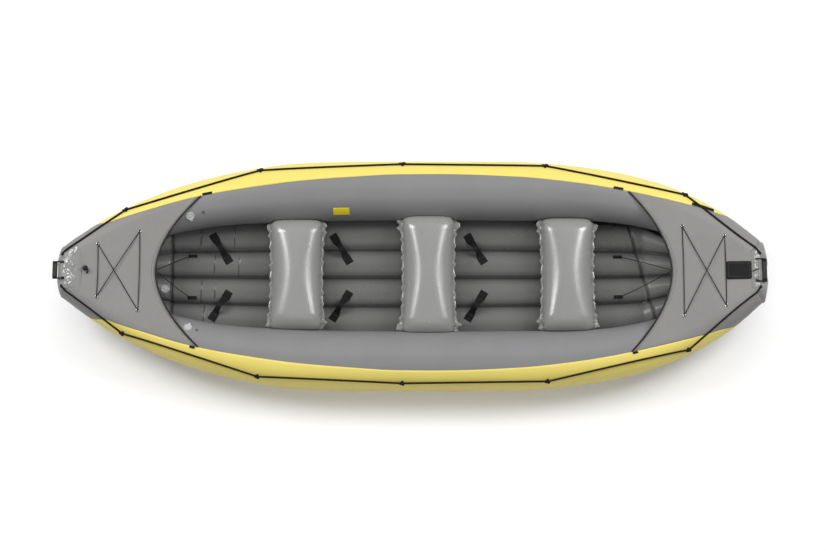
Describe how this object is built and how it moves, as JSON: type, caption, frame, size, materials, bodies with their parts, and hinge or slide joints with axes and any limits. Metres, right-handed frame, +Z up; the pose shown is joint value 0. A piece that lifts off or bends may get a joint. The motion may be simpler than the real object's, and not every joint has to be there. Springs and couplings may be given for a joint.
{
  "type": "inflatable canoe raft",
  "caption": "Open inflatable canoe with side tubes, a ribbed air floor, cross cushions as seats, laced spray decks, lifelines, foot straps, carrying handles and air valves.",
  "frame": {"origin": "on the ground amidships, midway between the noses and between the side tubes", "axes": "+X to the stern, +Y to starboard, +Z up"},
  "size_m": [4.5114, 1.4842, 0.4617],
  "materials": {
    "hull_grey": "satin coated fabric",
    "panel_yellow": "satin coated fabric",
    "label_yellow": "matt, bare",
    "floor_grey": "satin coated fabric",
    "seat_grey": "glossy vinyl",
    "deck_grey": "matt woven",
    "eyelet_metal": "polished",
    "valve_spring_metal": "smooth",
    "valve_white": "glossy",
    "rope_black": "braided",
    "trim_black": "matt",
    "webbing_black": "woven"
  },
  "bodies": {
    "hull": {"side_tube_port": "hull_grey", "side_tube_starboard": "hull_grey", "side_panel_port": "panel_yellow", "side_panel_starboard": "panel_yellow", "nose_patch_bow": "hull_grey", "nose_patch_stern": "hull_grey", "hull_bottom": "hull_grey", "floor_cell_port_outer": "floor_grey", "floor_cell_port_inner": "floor_grey", "floor_cell_starboard_inner": "floor_grey", "floor_cell_starboard_outer": "floor_grey", "side_tube_valve_port": "hull_grey", "side_tube_valve_starboard": "hull_grey", "floor_cell_valve": "floor_grey", "spray_deck_bow": "deck_grey", "spray_deck_stern": "deck_grey", "deck_piping_bow": "trim_black", "deck_piping_stern": "trim_black", "deck_eyelets_bow": "eyelet_metal", "deck_eyelets_stern": "eyelet_metal", "deck_lacing_bow": "rope_black", "deck_lacing_stern": "rope_black", "deck_tensioner_bow": "rope_black", "deck_tensioner_stern": "rope_black", "tension_tabs_bow": "webbing_black", "tension_tabs_stern": "webbing_black", "lifeline_port": "rope_black", "lifeline_starboard": "rope_black", "lifeline_anchors_port": "trim_black", "lifeline_anchors_starboard": "trim_black", "handle_anchor_bow": "webbing_black", "handle_anchor_stern": "webbing_black", "foot_strap_front_port": "webbing_black", "foot_strap_front_starboard": "webbing_black", "foot_strap_middle_port": "webbing_black", "foot_strap_middle_starboard": "webbing_black", "foot_strap_rear_port": "webbing_black", "foot_strap_rear_starboard": "webbing_black", "foot_strap_patches": "webbing_black", "valve_body_port": "valve_white", "valve_body_starboard": "valve_white", "valve_body_floor": "valve_white", "bow_toggle": "trim_black", "stern_pocket": "webbing_black", "tube_label": "label_yellow"},
    "front_seat": {"seat_front": "seat_grey", "seat_valve_front": "valve_white"},
    "middle_seat": {"seat_middle": "seat_grey", "seat_valve_middle": "valve_white"},
    "rear_seat": {"seat_rear": "seat_grey", "seat_valve_rear": "valve_white"},
    "bow_handle": {"handle_bow": "webbing_black"},
    "stern_handle": {"handle_stern": "webbing_black"},
    "port_valve_cap": {"valve_cap_port": "valve_white"},
    "port_valve_plunger": {"valve_plunger_port": "valve_spring_metal"},
    "starboard_valve_cap": {"valve_cap_starboard": "valve_white"},
    "starboard_valve_plunger": {"valve_plunger_starboard": "valve_spring_metal"},
    "floor_valve_cap": {"valve_cap_floor": "valve_white"},
    "floor_valve_plunger": {"valve_plunger_floor": "valve_spring_metal"},
    "pocket_flap": {"stern_pocket_flap": "webbing_black"}
  },
  "joints": [
    {"name": "front_seat_lift", "type": "slide", "parent": "hull", "child": "front_seat", "axis": [0, 0, 1], "range_m": [0, 0.35]},
    {"name": "middle_seat_lift", "type": "slide", "parent": "hull", "child": "middle_seat", "axis": [0, 0, 1], "range_m": [0, 0.35]},
    {"name": "rear_seat_lift", "type": "slide", "parent": "hull", "child": "rear_seat", "axis": [0, 0, 1], "range_m": [0, 0.35]},
    {"name": "bow_handle_swing", "type": "hinge", "parent": "hull", "child": "bow_handle", "pos_m": [-2.19359, 0, 0.43767], "axis": [0, 1, 0], "range_deg": [0, 110]},
    {"name": "stern_handle_swing", "type": "hinge", "parent": "hull", "child": "stern_handle", "pos_m": [2.15586, 0, 0.44246], "axis": [0, -1, 0], "range_deg": [0, 140]},
    {"name": "port_valve_cap_hinge", "type": "hinge", "parent": "hull", "child": "port_valve_cap", "pos_m": [-1.40629, -0.3285, 0.35213], "axis": [-0.964, 0.2661, 0], "range_deg": [0, 140]},
    {"name": "port_valve_press", "type": "slide", "parent": "hull", "child": "port_valve_plunger", "axis": [-0.1449, -0.525, -0.8387], "range_m": [0, 0.006], "stiffness_N_per_m": 300, "springref_m": -0.003},
    {"name": "starboard_valve_cap_hinge", "type": "hinge", "parent": "hull", "child": "starboard_valve_cap", "pos_m": [-1.40629, 0.3285, 0.35213], "axis": [0.964, 0.2661, 0], "range_deg": [0, 140]},
    {"name": "starboard_valve_press", "type": "slide", "parent": "hull", "child": "starboard_valve_plunger", "axis": [-0.1449, 0.525, -0.8387], "range_m": [0, 0.006], "stiffness_N_per_m": 300, "springref_m": -0.003},
    {"name": "floor_valve_cap_hinge", "type": "hinge", "parent": "hull", "child": "floor_valve_cap", "pos_m": [-1.56867, -0.085, 0.16332], "axis": [0, 1, 0], "range_deg": [0, 140]},
    {"name": "floor_valve_press", "type": "slide", "parent": "hull", "child": "floor_valve_plunger", "axis": [-0.3746, 0, -0.9272], "range_m": [0, 0.006], "stiffness_N_per_m": 300, "springref_m": -0.003},
    {"name": "pocket_flap_hinge", "type": "hinge", "parent": "hull", "child": "pocket_flap", "pos_m": [1.971, 0, 0.42787], "axis": [0, -1, 0], "range_deg": [0, 150]}
  ]
}
